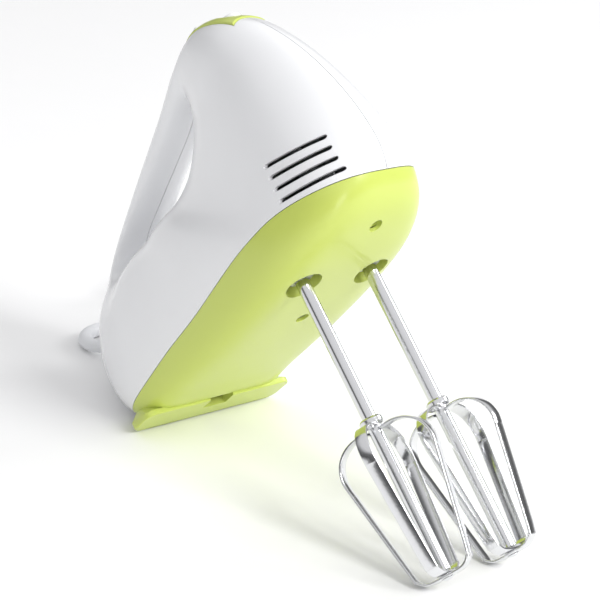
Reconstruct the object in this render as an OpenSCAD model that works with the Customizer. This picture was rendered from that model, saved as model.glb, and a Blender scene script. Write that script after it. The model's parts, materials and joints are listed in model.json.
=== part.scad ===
// Hand mixer with a closed-loop handle, two driven beaters and a mains lead.
// Every piece is modelled in the mixer's own directions: +X its left side, -Y its nose, +Z along
// the beater axes. The whole mixer is then laid down on its heel and beater heads, as on a worktop.

/* [Body] */
// Thickness of the moulded shells
wall = 2.2; // [1.6:0.1:3.0]
// Gap left between neighbouring moulded shells
seam_gap = 0.3; // [0.2:0.05:0.6]
// Length of the long cooling slots beside the nose
vent_len = 27; // [16:1:32]
// Width of each cooling slot
vent_w = 1.9; // [1.0:0.1:2.4]

/* [Beaters] */
// Distance between the two beater axes
beater_pitch = 38; // [36:0.5:46]
// Diameter of a beater shaft
shaft_d = 6.0; // [5:0.1:7]
// Length of a beater below the base
beater_drop = 132; // [110:1:150]
// Largest radius of a beater head
head_r = 21.5; // [16:0.5:23]
// Height of a beater head
head_h = 66.5; // [50:0.5:80]
// Width of the flat beater strip
strip_w = 5.6; // [4:0.1:8]
// Thickness of the flat beater strip
strip_t = 1.1; // [0.8:0.1:1.6]

/* [Drive] */
// Height of the motor shaft above the base
motor_h = 21; // [19:0.5:24]
// Number of teeth on each worm wheel
wheel_teeth = 36; // [28:1:44]
// Number of starts of the worm thread
worm_starts = 2; // [1:1:3]

/* [Lead] */
// Outer diameter of the mains lead
lead_d = 6.4; // [5.5:0.1:8]
// Mean diameter of the coiled lead
coil_d = 72; // [64:1:90]

/* [Hidden] */
$fn = 40;
half = beater_pitch / 2;
// Resting attitude: the line from the heel edge to the lowest bend of the beater heads
heel_f = -119;
heel_u = -5.2;
tip_f = -12.45;
tip_u = 2.75 - beater_drop;
lie = -atan2(heel_u - tip_u, tip_f - heel_f);
// Screws on the centre line of the base (forward, up) of the seat, and height of each post
base_posts = [[33.6, 7.6, 11], [-30.6, -2.6, 5.2]];
// Screws that draw the two housing halves together
side_screws = [[-104, 48], [4, 92]];
// Place of the ejector button along the crest
eject_f = 12;
// Middle and tilt of the lead's outlet in the back of the housing
exit_f = -137;
exit_u = 33;
exit_tilt = 40;
// Worm drive
wheel_r = half - 4;
tooth_pitch = 2 * PI * wheel_r / wheel_teeth;
worm_lead = tooth_pitch * worm_starts;
worm_r = 4;
helix = atan(worm_lead / (2 * PI * worm_r));
// Beater heads: top of the head, and the turn of each about its own axis
head_top = -beater_drop + head_h;
turn_r = -62;
turn_l = 107;
// Bore of every piece that the lead passes through
lead_bore = lead_d + 0.6;
// Middle of the wound lead on the worktop, and of the plug beside it
coil_x = 78;
coil_y = 134;
plug_x = coil_x + 20;
plug_y = coil_y + 30;
plug_h = 13.7;
// Height of the plug's middle, lying on the wound lead
plug_z = 2 * lead_d + 0.1 + plug_h / 2;
pin_pitch = 19;
pin_free = 18;
pin_r = 2;
pin_root_r = 1.6;
pin_root = 8;
pin_point = 0.8;
// Stations round the body, nose first: outer point (forward, up), handle-opening point
// (forward, up), half width, bias of the widest place, roundness
stations = [
  [0, 127, -27, 104, 15, 1.0, 0.8],
  [20, 117, -27, 97, 18, 1.0, 0.8],
  [35, 99, -31, 91, 20.5, 1.0, 0.88],
  [47, 76, -37, 85, 24, 1.0, 0.92],
  [55, 50, -45, 79, 27.5, 1.05, 0.9],
  [56, 27, -53, 76, 30.5, 1.2, 0.84],
  [45, 11, -60, 74, 34, 1.45, 0.75],
  [20, 3, -66, 72.5, 38.6, 1.75, 0.64],
  [-12, -1, -73, 71.5, 40, 1.9, 0.6],
  [-48, -3, -81, 70, 40, 2.0, 0.6],
  [-84, -3.4, -90, 69, 40, 2.0, 0.55],
  [-113, -3.2, -98, 67.5, 40, 1.9, 0.55],
  [-130, 10, -105, 66.5, 36, 1.6, 0.65],
  [-138, 34, -109, 69, 28, 1.3, 0.75],
  [-132, 56, -107, 73, 19, 1.1, 0.8],
  [-115, 76, -99, 79, 14.5, 1.0, 0.8],
  [-81, 95, -77, 87, 13, 1.0, 0.8],
  [-43, 112, -48, 97, 13, 1.0, 0.8],
  [-18, 123, -34, 103, 14, 1.0, 0.8]
];
// Parting line between the white housing and the green base, seen from the side
seam = [[-150, 0], [-113, 5.5], [-76, 11.5], [-42, 15.6], [-1, 23], [19, 25.4], [44, 23], [70, 18]];

function catmull(a, b, c, d, s) = 0.5 * ((2 * b) + (c - a) * s + (2 * a - 5 * b + 4 * c - d) * s * s
  + (3 * b - a - 3 * c + d) * s * s * s);
function rings(m) = let(n = len(stations)) [for (i = [0:n - 1]) for (j = [0:m - 1])
  catmull(stations[(i + n - 1) % n], stations[i], stations[(i + 1) % n], stations[(i + 2) % n], j / m)];
function unit2(v) = v / sqrt(v[0] * v[0] + v[1] * v[1]);
// One ring of the body skin, moved inwards by d
function ring_pts(c, q, d) = let(
    dir = unit2([c[2] - c[0], c[3] - c[1]]),
    o = [c[0] + dir[0] * d, c[1] + dir[1] * d],
    n = [c[2] - dir[0] * d, c[3] - dir[1] * d],
    w = c[4] - d)
  [for (j = [0:2 * q - 1]) let(
      a = 180 * j / q,
      t = pow((1 - cos(a)) / 2, c[5]),
      s = sin(a),
      x = (j == 0 || j == q) ? 0 : (s < 0 ? -1 : 1) * w * pow(abs(s), c[6]))
    [x, -(o[0] + (n[0] - o[0]) * t), o[1] + (n[1] - o[1]) * t]];

module skin(d, m = 3, q = 10) {
  r = rings(m);
  n = len(r);
  k = 2 * q;
  pts = [for (c = r) each ring_pts(c, q, d)];
  fcs = [for (i = [0:n - 1]) for (j = [0:k - 1]) let(
      a = i * k + j, b = i * k + (j + 1) % k,
      e = ((i + 1) % n) * k + j, g = ((i + 1) % n) * k + (j + 1) % k)
    each [[a, b, g], [a, g, e]]];
  polyhedron(pts, fcs, convexity = 8);
}
// A slab between two sides whose outline is drawn in (forward, up)
module side_prism(pts, x0, x1)
  translate([x0, 0, 0]) rotate([90, 0, 90])
    linear_extrude(x1 - x0) polygon([for (p = pts) [-p[0], p[1]]]);
module along_f(f, u, len, x = 0) translate([x, -f, u]) rotate([90, 0, 0]) children();
module at(f, x, u) translate([x, -f, u]) children();
module box_fxu(f0, f1, x0, x1, u0, u1) translate([x0, -f1, u0]) cube([x1 - x0, f1 - f0, u1 - u0]);
// A straight slot cut through a side: a stadium running from a to b in (forward, up)
module slot(a, b, w, x0, x1) hull() for (p = [a, b])
  translate([x0, -p[0], p[1]]) rotate([0, 90, 0]) cylinder(d = w, h = x1 - x0, $fn = 12);

module lay() translate([0, lay_y, lay_z]) rotate([lie, 0, 0]) children();
// Height of a point of the mixer above the worktop, before lay_z is added
function up_of(f, u) = -f * sin(lie) + u * cos(lie);
function back_of(f, u) = -f * cos(lie) - u * sin(lie);
lay_z = -up_of(heel_f, heel_u);
// Puts the middle of the laid mixer over the origin, from the handle bend to the beater tips
lay_trim = 1.65;
lay_y = -(back_of(-118.5, 72.5) + back_of(8.3, -131.8)) / 2 - lay_trim;

// ---------------------------------------------------------------- shells
module above_seam(g) side_prism(
  concat([for (p = seam) [p[0], p[1] + g]], [[70, 160], [-170, 160], [-170, g]]), -60, 60);
module below_seam(g) side_prism(
  concat([for (p = seam) [p[0], p[1] - g]], [[70, -40], [-170, -40], [-170, -g]]), -60, 60);
module side_vents() for (i = [0:3])
  slot([48.4 + i * 0.6 - vent_len, 46 - 5.65 * i], [48.4 + i * 0.6, 42.2 - 5.3 * i], vent_w, 10, 60);
module rear_vents() for (i = [0:4]) at(-150, 0, 0) hull() for (x = [11, 19])
  translate([x, 0, 14 + 5 * i]) rotate([90, 0, 0]) cylinder(d = vent_w, h = 26, $fn = 12);
module white_half() difference() {
  intersection() {
    skin(0);
    above_seam(seam_gap / 2);
    translate([seam_gap / 2, -100, -40]) cube([70, 300, 200]);
  }
  skin(wall);
  side_vents();
  rear_vents();
  // opening for the control panel
  box_fxu(-20.5, 21.5, -1, 9.3, 106, 150);
  // cable outlet
  outlet() cylinder(d = 9.4, h = 24, center = true);
}
module housing_left() color([0.95, 0.95, 0.96]) {
  white_half();
  for (p = side_screws) boss(p[0], p[1], 6);
}
module housing_right() color([0.95, 0.95, 0.96]) mirror([1, 0, 0]) {
  white_half();
  for (p = side_screws) boss(p[0], p[1], 6);
}
// Screw post reaching from the side wall to the middle
module boss(f, u, d) difference() {
  intersection() {
    translate([seam_gap / 2, -f, u]) rotate([0, 90, 0]) cylinder(d = d, h = 40);
    skin(wall * 0.6);
  }
  translate([-1, -f, u]) rotate([0, 90, 0]) cylinder(d = 2.9, h = 16);
}
module base_screw_post(f, u, h) difference() {
  at(f, 0, u) cylinder(d = 10, h = h);
  at(f, 0, u - 20) cylinder(d = 3.4, h = 50);
}
module base_shell() color([0.78, 0.88, 0.38]) difference() {
  union() {
    difference() {
      intersection() {
        skin(0);
        below_seam(seam_gap / 2);
      }
      skin(wall);
    }
    intersection() {
      union() {
        for (p = base_posts) base_screw_post(p[0], p[1], p[2]);
        for (x = [-half, half]) at(0, x, -2) difference() {
          cylinder(d = 20.6, h = 7.5);
          translate([0, 0, -1]) cylinder(d = 16.6, h = 10);
        }
        // stiffening ribs across the floor
        for (f = [-45, -58, -71, -84, -97]) hull() for (x = [-26, 26])
          at(f, x, -4) cylinder(d = 1.6, h = 4, $fn = 12);
      }
      skin(wall * 0.6);
    }
    // heel foot with its own stepped edge
    difference() {
      hull() {
        for (x = [-36, 36]) at(heel_f + 5.5, x, heel_u) cylinder(r = 5.5, h = 3.4, $fn = 32);
        for (x = [-37, 37]) at(-106, x, heel_u) cylinder(r = 4.5, h = 2.4, $fn = 32);
        for (x = [-33, 33]) at(-114, x, 2) sphere(r = 3, $fn = 16);
      }
      skin(wall * 0.5);
    }
  }
  for (x = [-half, half]) at(0, x, -12) cylinder(d = 16.6, h = 26);
  for (p = base_posts) {
    at(p[0], 0, p[1] - 8) cylinder(d = 6.2, h = 12);
    at(p[0], 0, p[1] - 8) cylinder(d = 3.4, h = 40);
  }
  // latch pocket in the heel
  box_fxu(-109, -101, -6.5, 6.5, -12, 8);
}
module control_panel() color([0.75, 0.86, 0.36]) difference() {
  intersection() {
    difference() {
      skin(-0.7);
      skin(wall - 0.4);
    }
    box_fxu(-20.2, 21.2, -9, 9, 106, 150);
  }
  crest() box_fxu(-3.6, 11, -3.4, 3.4, -20, 20);
  at(eject_f, 0, 100) cylinder(d = 10.6, h = 40);
  // speed scale: one engraved mark per setting
  for (i = [0:7]) hull() for (x = [5.6, 7.4])
    at(-13.2 + 2.4 * i, x, top_u(-13.2 + 2.4 * i) + 0.2) cylinder(d = 0.6, h = 3, $fn = 8);
}
// Height of the crest above the panel
function top_u(f) = f < 0 ? 127 + f * 0.22 : 127 - f * 0.12 - f * f * 0.019;

// ---------------------------------------------------------------- controls
// Frame of the speed slide: origin on the panel, nose direction rising with the crest
module crest() at(-8.5, 0, 126) rotate([-11, 0, 0]) children();
module speed_knob() color([0.93, 0.93, 0.94]) crest() {
  box_fxu(-3, 3, -3, 3, -9, 0.9);
  box_fxu(-4.6, 4.6, -5.4, 5.4, 0.8, 2.2);
  for (f = [-3.4, -0.5, 2.4]) box_fxu(f, f + 1, -4.8, 4.8, 2.1, 2.7);
}
module eject_button() color([0.93, 0.93, 0.94]) {
  at(eject_f, 0, 108) cylinder(d = 10, h = 14.2);
  at(eject_f, 0, 50.2) cylinder(d = 4.8, h = 57.8);
}
module ejector_plate() color([0.6, 0.6, 0.62]) difference() {
  union() {
    box_fxu(-5, 5, -26, 26, 47.5, 50);
    at(eject_f, 0, 47.5) cylinder(d = 11, h = 2.5);
    box_fxu(4.9, eject_f, -4, 4, 47.5, 50);
  }
  at(eject_f, 0, 46) cylinder(d = 3.9, h = 3.4);
}
module eject_spring() color([0.7, 0.7, 0.72]) at(eject_f, 0, 34.9)
  coil_spring(r = 4, wire = 0.4, turns = 5, h = 12.2);
module coil_spring(r, wire, turns, h) {
  n = turns * 14;
  k = 6;
  pts = [for (i = [0:n]) for (j = [0:k - 1]) let(a = 360 * turns * i / n, b = 360 * j / k,
      rr = r + wire * cos(b)) [rr * cos(a), rr * sin(a), wire + (h - 2 * wire) * i / n + wire * sin(b)]];
  fcs = concat([[for (j = [0:k - 1]) j]], [[for (j = [0:k - 1]) n * k + k - 1 - j]],
    [for (i = [0:n - 1]) for (j = [0:k - 1]) let(a = i * k + j, b = i * k + (j + 1) % k)
      each [[a, a + k, b + k], [a, b + k, b]]]);
  polyhedron(pts, fcs);
}
module switch_body() color([0.15, 0.15, 0.16]) difference() {
  crest() difference() {
    box_fxu(-8, 14, -6.6, 6.6, -17, -9.4);
    box_fxu(-5.5, 12.5, -3.6, 3.6, -13.4, -8);
  }
  at(eject_f, 0, 100) cylinder(d = 11, h = 24);
  at(eject_f, 0, 60) cylinder(d = 5.6, h = 60);
}
module switch_slider() color([0.8, 0.35, 0.15]) crest()
  box_fxu(-4, 4, -3.4, 3.4, -13, -9.05);
module switch_contacts() color([0.85, 0.6, 0.3]) crest() for (f = [-6, -1, 4, 9]) for (x = [-4.6, 4.6])
  box_fxu(f, f + 1.2, x - 0.9, x + 0.9, -19.5, -17.05);
module capacitor() color([0.75, 0.55, 0.15]) box_fxu(-120, -104, 13, 23, 11, 20);

// ---------------------------------------------------------------- gearbox
module gear_plate() color([0.55, 0.57, 0.6]) difference() {
  union() {
    box_fxu(-19.5, 15, -28, 28, 8, 10.5);
    box_fxu(-19.5, -17, -27, 27, 8, 39.5);
    box_fxu(-19.5, -17, -24, 24, 3, 8.1);
    box_fxu(14.9, 27, -8, 8, 8, 31.8);
    box_fxu(26.9, 38, -6, 6, 18.9, 22.5);
    for (x = [-half, half]) at(0, x, 6.6) cylinder(d = 16, h = 5.5);
  }
  for (x = [-half, half]) at(0, x, 0) cylinder(r = 6.6, h = 20);
  along_f(-21, motor_h, 8) cylinder(r = 7, h = 8);
  along_f(13, motor_h, 8) cylinder(r = 5.05, h = 12.1);
  along_f(25, motor_h, 8) cylinder(r = 2.4, h = 4);
  at(33.6, 0, 18) cylinder(r = 1.55, h = 6);
  at(23, 0, 26.4) cylinder(r = 1.25, h = 12);
  for (x = [-19.5, 19.5]) for (u = [5, 37]) along_f(-21, u, 8, x) cylinder(r = 1.4, h = 8);
  for (x = [-12, 12]) along_f(-21, 37, 8, x) cylinder(r = 1.1, h = 8);
}
module gear_cover() color([0.6, 0.62, 0.65]) difference() {
  union() {
    box_fxu(-16.7, 12, -27, 27, 32, 34.5);
    box_fxu(11.9, 28, -8, 8, 32, 34.5);
    box_fxu(-16.7, -14.7, -16, 16, 34.4, 40);
    at(eject_f, 0, 34.4) cylinder(d = 3.4, h = 7.4);
    for (x = [-half, half]) at(0, x, 31) cylinder(d = 16, h = 5.5);
  }
  for (x = [-half, half]) at(0, x, 28) cylinder(r = 6.6, h = 20);
  at(23, 0, 30) cylinder(r = 1.6, h = 8);
  for (x = [-12, 12]) along_f(-18, 37, 8, x) cylinder(r = 1.4, h = 8);
}
module gear_bushes() color([0.72, 0.55, 0.3]) for (x = [-half, half]) for (u = [7.2, 31.6])
  at(0, x, u) ring_z(6.55, 5.55, 4.8);
module spindle(x) color([0.78, 0.78, 0.8]) at(0, x, 0) difference() {
  union() {
    translate([0, 0, 3]) cylinder(r = 5.5, h = 37);
    translate([0, 0, 12.6]) cylinder(r = 7.2, h = 3.6);
  }
  translate([0, 0, 0]) cylinder(r = shaft_d / 2 + 0.08, h = 50);
  translate([-4.6, -1, 0]) cube([9.2, 2, 13]);
}
module spindle_left() spindle(half);
module spindle_right() spindle(-half);
module wheel(x, start) color([0.93, 0.92, 0.86]) at(0, x, motor_h - 4) difference() {
  rotate([0, 0, -tan(helix) / wheel_r * worm_r * 180 / PI])
  linear_extrude(8, twist = -tan(helix) / wheel_r * 8 * 180 / PI, slices = 2)
    polygon([for (i = [0:wheel_teeth - 1]) for (p = [[14.35, -0.3], [15.5, -0.19], [15.5, 0.19], [14.35, 0.3]])
      let(a = start + (i + 0.5 + p[1] * 0.8) * 360 / wheel_teeth) [p[0] * cos(a), p[0] * sin(a)]]);
  translate([0, 0, -1]) cylinder(r = 5.55, h = 10, $fn = 32);
  for (i = [0:5]) rotate([0, 0, 60 * i + 30]) translate([10, 0, -1]) cylinder(r = 2.4, h = 10, $fn = 16);
}
module wheel_left() wheel(half, 180);
module wheel_right() wheel(-half, 0);
module worm() color([0.75, 0.75, 0.78]) along_f(0, motor_h, 8) difference() {
  union() {
    translate([0, 0, -9]) cylinder(r = 2.9, h = 18, $fn = 24);
    for (s = [0:worm_starts - 1]) rotate([0, 0, 360 * s / worm_starts]) thread();
  }
  translate([0, 0, -10]) cylinder(r = 2.05, h = 20, $fn = 24);
}
module thread() {
  turns = 16 / worm_lead;
  n = round(turns * 16);
  pts = [for (i = [0:n]) let(z = -8 + 16 * i / n, a = 360 * z / worm_lead)
    each [[2.6 * cos(a), 2.6 * sin(a), z - 0.55], [4.6 * cos(a), 4.6 * sin(a), z - 0.3],
      [4.6 * cos(a), 4.6 * sin(a), z + 0.3], [2.6 * cos(a), 2.6 * sin(a), z + 0.55]]];
  fcs = concat([[3, 2, 1, 0]], [[4 * n, 4 * n + 1, 4 * n + 2, 4 * n + 3]],
    [for (i = [0:n - 1]) for (j = [0:3]) let(a = i * 4 + j, b = i * 4 + (j + 1) % 4)
      each [[a, b + 4, a + 4], [a, b, b + 4]]]);
  polyhedron(pts, fcs);
}

// ---------------------------------------------------------------- motor
module rotor_shaft() color([0.8, 0.8, 0.82]) along_f(-100, motor_h, 8) cylinder(r = 2, h = 125.5);
module motor_bushes() color([0.72, 0.55, 0.3]) {
  along_f(19.6, motor_h, 8) ring_z(5, 2.05, 5.3);
  along_f(-93.8, motor_h, 8) ring_z(5, 2.05, 6);
}
module ring_z(ro, ri, h) difference() {
  cylinder(r = ro, h = h);
  translate([0, 0, -1]) cylinder(r = ri, h = h + 2);
}
module fan() color([0.2, 0.2, 0.22]) along_f(-28.6, motor_h, 8) difference() {
  union() {
    cylinder(r = 5, h = 8);
    cylinder(r = 16.5, h = 1.4);
    for (i = [0:9]) rotate([0, 0, 36 * i]) translate([4.5, -0.6, 0]) cube([12.3, 1.2, 7]);
  }
  translate([0, 0, -1]) cylinder(r = 2.03, h = 12);
}
module stator_core() color([0.45, 0.45, 0.48]) along_f(-64, motor_h, 8) difference() {
  translate([-23, -19, 0]) cube([46, 38, 24]);
  translate([0, 0, -1]) cylinder(r = 12.5, h = 30);
  for (a = [40, 140, 220, 320]) rotate([0, 0, a]) translate([12, -3.2, -1]) cube([6.4, 6.4, 30]);
  for (x = [-19.5, 19.5]) for (y = [-16, 16]) translate([x, y, -1]) cylinder(r = 1.75, h = 30);
}
module field_coils() color([0.72, 0.36, 0.16]) along_f(-64, motor_h, 8) for (b = [40, 220]) {
  for (z = [-5, 24.5]) translate([0, 0, z]) rotate([0, 0, b - 14]) rotate_extrude(angle = 128)
    translate([13, 0]) square([5, 4.5]);
  for (a = [b, b + 100]) rotate([0, 0, a]) translate([13, -2.6, -1]) cube([5, 5.2, 26]);
}
module armature_core() color([0.5, 0.5, 0.52]) along_f(-64, motor_h, 8) difference() {
  cylinder(r = 12, h = 24);
  translate([0, 0, -1]) cylinder(r = 2.02, h = 30);
  for (i = [0:10]) rotate([0, 0, i * 360 / 11]) translate([7.4, -1, -1]) cube([6, 2, 26]);
}
module armature_windings() color([0.75, 0.4, 0.18]) along_f(-64, motor_h, 8) {
  for (z = [-6.2, 24.2]) translate([0, 0, z]) ring_z(10.6, 2.6, 6);
  for (i = [0:10]) rotate([0, 0, i * 360 / 11]) translate([7.6, -0.8, -0.4]) cube([3.4, 1.6, 24.8]);
}
module commutator() color([0.8, 0.5, 0.25]) along_f(-84, motor_h, 8) difference() {
  union() {
    cylinder(r = 7.5, h = 10);
    translate([0, 0, 9]) cylinder(r = 8.6, h = 2);
  }
  translate([0, 0, -1]) cylinder(r = 2.03, h = 20);
  for (i = [0:10]) rotate([0, 0, i * 360 / 11]) translate([6.6, -0.25, -1]) cube([3, 0.5, 9.4]);
}
module brush_holders() color([0.8, 0.65, 0.35]) for (m = [0, 1]) mirror([m, 0, 0])
  at(-79.5, 8.6, motor_h) difference() {
    translate([0, -4, -3.6]) cube([15, 8, 7.2]);
    translate([-1, -3.05, -2.65]) cube([13, 6.1, 5.3]);
  }
module brushes() color([0.15, 0.15, 0.16]) for (m = [0, 1]) mirror([m, 0, 0])
  at(-79.5, 7.6, motor_h) translate([0, -3, -2.6]) cube([9.5, 6, 5.2]);
module rear_bracket() color([0.55, 0.57, 0.6]) difference() {
  union() {
    box_fxu(-93.5, -90.5, -26, 26, 3, 39);
    for (m = [0, 1]) mirror([m, 0, 0]) box_fxu(-90.6, -74, 10, 24, 14.5, 17.3);
    along_f(-97, motor_h, 8) cylinder(r = 8, h = 4);
  }
  along_f(-93.9, motor_h, 8) cylinder(r = 5.05, h = 8);
  along_f(-99, motor_h, 8) cylinder(r = 2.4, h = 8);
  for (x = [-19.5, 19.5]) for (u = [5, 37]) along_f(-98, u, 8, x) cylinder(r = 1.7, h = 12);
}
// Cross foot that ties the motor down to the base
module motor_foot() color([0.55, 0.57, 0.6]) difference() {
  union() {
    box_fxu(-38.5, -33, -23, 23, 2.7, 8.4);
    box_fxu(-33.1, -28.9, -5, 5, 2.8, 8.4);
  }
  for (x = [-19.5, 19.5]) along_f(-40, 5, 8, x) cylinder(r = 1.7, h = 12);
  at(-30.6, 0, 0) cylinder(r = 1.55, h = 12);
  along_f(-40, motor_h, 8) cylinder(r = 18.6, h = 5.4);
}
module motor_screws() color([0.75, 0.75, 0.77]) for (x = [-19.5, 19.5]) for (u = [5, 37]) {
  along_f(-93.6, u, 8, x) cylinder(r = 1.35, h = 76.4);
  along_f(-96, u, 8, x) screw_head(5.4, 2.3);
}
// Pan head with a cross recess; its underside is at z = h
module screw_head(d, h) difference() {
  cylinder(d = d, h = h);
  for (a = [0, 90]) rotate([0, 0, a]) translate([-d * 0.3, -0.45, -1]) cube([d * 0.6, 0.9, 1 + h * 0.5]);
}

// ---------------------------------------------------------------- beaters
function offs(p, t) = let(n = len(p)) [for (i = [0:n - 1]) let(
    a = p[max(i - 1, 0)], b = p[min(i + 1, n - 1)], d = b - a, l = sqrt(d * d))
  p[i] + [-d[1], d[0]] / l * t];
function loop_half(rm, z1, z0) = [[3.15, z1], [8, z1 + 0.4], [12.8, z1 - 0.6], [17, z1 - 3], [20, z1 - 6.6],
  [rm, z1 - 11.5], [rm - 0.3, z1 - 16], [rm - 1.3, z1 - 21], [rm - 8.4, z0 + 6.5], [rm - 9.6, z0 + 3.2],
  [rm - 11.8, z0 + 1.1], [rm - 14.3, z0 + 0.2], [3, z0]];
function mirrored(p) = [for (i = [len(p) - 1:-1:0]) [-p[i][0], p[i][1]]];
module strip_outline(c)
  polygon(concat(offs(c, strip_t / 2), [for (i = [len(c) - 1:-1:0]) offs(c, -strip_t / 2)[i]]));
module beater_strip(rm, z1, z0) difference() {
  rotate([90, 0, 0]) translate([0, 0, -strip_w / 2]) linear_extrude(strip_w)
    strip_outline(concat(loop_half(rm, z1, z0), mirrored(loop_half(rm, z1, z0))));
  translate([0, 0, z0 - 2]) cylinder(r = 1.65, h = 4);
}
module beater_shaft(x, a) color([0.82, 0.83, 0.85]) at(0, x, 0) rotate([0, 0, a]) {
  translate([0, 0, -beater_drop + 2.2]) cylinder(d = shaft_d, h = beater_drop + 38.3);
  translate([0, 0, 40.5]) cylinder(d1 = shaft_d, d2 = shaft_d - 2, h = 1);
  // two lugs that key the shaft into its spindle
  rotate([0, 0, -a]) translate([-4.3, -0.85, 4]) cube([8.6, 1.7, 8.5]);
}
module beater_outer(x, a) color([0.82, 0.83, 0.85]) at(0, x, 0) rotate([0, 0, a])
  beater_strip(head_r, head_top - 1.6, -beater_drop);
module beater_inner(x, a) color([0.82, 0.83, 0.85]) at(0, x, 0) rotate([0, 0, a + 90])
  beater_strip(head_r, head_top, -beater_drop + 1.3);
module beater_collar(x) color([0.8, 0.8, 0.82]) at(0, x, head_top + 0.9) ring_z(5, shaft_d / 2 + 0.03, 3);
module beater_rivet(x) color([0.8, 0.8, 0.82]) at(0, x, -beater_drop) {
  translate([0, 0, -0.8]) cylinder(r = 1.6, h = 2.95);
  translate([0, 0, -1.5]) cylinder(r = 2.6, h = 0.9);
}
module beater_rivet_left() beater_rivet(half);
module beater_rivet_right() beater_rivet(-half);
module beater_shaft_right() beater_shaft(-half, turn_r);
module beater_shaft_left() beater_shaft(half, turn_l);
module beater_outer_right() beater_outer(-half, turn_r);
module beater_outer_left() beater_outer(half, turn_l);
module beater_inner_right() beater_inner(-half, turn_r);
module beater_inner_left() beater_inner(half, turn_l);
module beater_collar_right() beater_collar(-half);
module beater_collar_left() beater_collar(half);

// ---------------------------------------------------------------- screws
module base_screws() color([0.75, 0.75, 0.77]) for (p = [[33.6, 11.5, 10], [-30.6, 1.3, 6.8]]) {
  at(p[0], 0, p[1]) cylinder(r = 1.5, h = p[2]);
  at(p[0], 0, p[1] - 2.2) screw_head(5.6, 2.2);
}
module housing_screws() color([0.75, 0.75, 0.77]) for (p = side_screws)
  translate([-14, -p[0], p[1]]) rotate([0, 90, 0]) cylinder(r = 1.4, h = 28);
module gear_screws() color([0.75, 0.75, 0.77]) {
  at(23, 0, 26.6) cylinder(r = 1.2, h = 8);
  at(23, 0, 36.6) mirror([0, 0, 1]) screw_head(5, 2);
  for (x = [-12, 12]) {
    along_f(-19, 37, 8, x) cylinder(r = 1.05, h = 4.5);
    along_f(-12.6, 37, 8, x) mirror([0, 0, 1]) screw_head(4.4, 2);
  }
}

// ---------------------------------------------------------------- lead
module outlet() at(exit_f, 0, exit_u) rotate([-90 + exit_tilt, 0, 0]) children();
module cord_guard() color([0.95, 0.95, 0.96]) outlet() difference() {
  union() {
    translate([0, 0, -11.4]) cylinder(d = 8.8, h = 13.9);
    translate([0, 0, -11.4]) cylinder(d = 11, h = 2.2);
    translate([0, 0, 2]) cylinder(d1 = 8.8, d2 = 7.7, h = 20);
  }
  translate([0, 0, -12]) cylinder(d = lead_bore, h = 40);
  for (i = [0:3]) translate([-6, (i % 2 == 0 ? 3.5 : -5.5), 5 + 4 * i]) cube([12, 2, 1.6]);
}
// Saddle and bar that grip the lead behind its outlet
module cord_anchor() color([0.9, 0.9, 0.88]) outlet() difference() {
  translate([-9.5, 1, -24]) cube([19, 6.4, 8]);
  translate([0, 0, -30]) cylinder(d = lead_bore, h = 20);
  for (x = [-6.4, 6.4]) translate([x, 0, -20]) rotate([-90, 0, 0]) cylinder(r = 1.35, h = 12);
}
module cord_clamp() color([0.9, 0.9, 0.88]) outlet() difference() {
  translate([-9.5, -6, -24]) cube([19, 4.6, 8]);
  translate([0, 0, -30]) cylinder(d = lead_bore, h = 20);
  for (x = [-6.4, 6.4]) translate([x, -8, -20]) rotate([-90, 0, 0]) cylinder(r = 1.5, h = 12);
}
module clamp_screws() color([0.75, 0.75, 0.77]) outlet() for (x = [-6.4, 6.4]) translate([x, 0, -20])
  rotate([-90, 0, 0]) {
    translate([0, 0, -6.5]) cylinder(r = 1.3, h = 12);
    translate([0, 0, -8.3]) screw_head(4.4, 2.2);
  }

// The free lead is drawn directly on the worktop
exit_y = back_of(exit_f, exit_u) + lay_y;
exit_z = up_of(exit_f, exit_u) + lay_z;
run_y = cos(exit_tilt) * cos(lie) - sin(exit_tilt) * sin(lie);
run_z = cos(exit_tilt) * sin(lie) + sin(exit_tilt) * cos(lie);
lead_z = lead_d / 2 + 0.25;
coil_gap = 0.8;
coil_out = coil_d / 2 + lead_d + coil_gap + lead_d / 2;
function around_coil(a, r, z) = [coil_x + r * cos(a), coil_y + r * sin(a), z];
lead_route = [
  [0, exit_y - 26 * run_y, exit_z - 26 * run_z],
  [0, exit_y - 8 * run_y, exit_z - 8 * run_z],
  [0, exit_y + 8 * run_y, exit_z + 8 * run_z],
  [0, exit_y + 22.5 * run_y, exit_z + 22.5 * run_z],
  [0, exit_y + 25.5 * run_y, exit_z + 25.5 * run_z],
  [-1.8, 130.5, 5.5], [-4.2, 137, 3.9], [-3.5, 144, lead_z], [2, 149.5, lead_z], [11, 152, lead_z],
  [21, 150, lead_z], [28.5, 144, lead_z],
  for (a = [180, 195, 212, 230]) around_coil(a, coil_out, lead_z)
];
tail_route = [
  around_coil(303, 39.2, 16.35), around_coil(320, 39.2, 16.35), around_coil(340, 39, 17.3),
  around_coil(2, 37, 18.9), [coil_x + 36.5, coil_y + 13, 19.6], [coil_x + 32, coil_y + 24, plug_z],
  [coil_x + 26.5, coil_y + 29, plug_z], [plug_x + 1.5, plug_y, plug_z], [plug_x - 6, plug_y, plug_z]
];
function path3(p, m) = let(n = len(p)) concat([for (i = [0:n - 2]) for (j = [0:m - 1])
  catmull(p[max(i - 1, 0)], p[i], p[i + 1], p[min(i + 2, n - 1)], j / m)], [p[n - 1]]);
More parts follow.
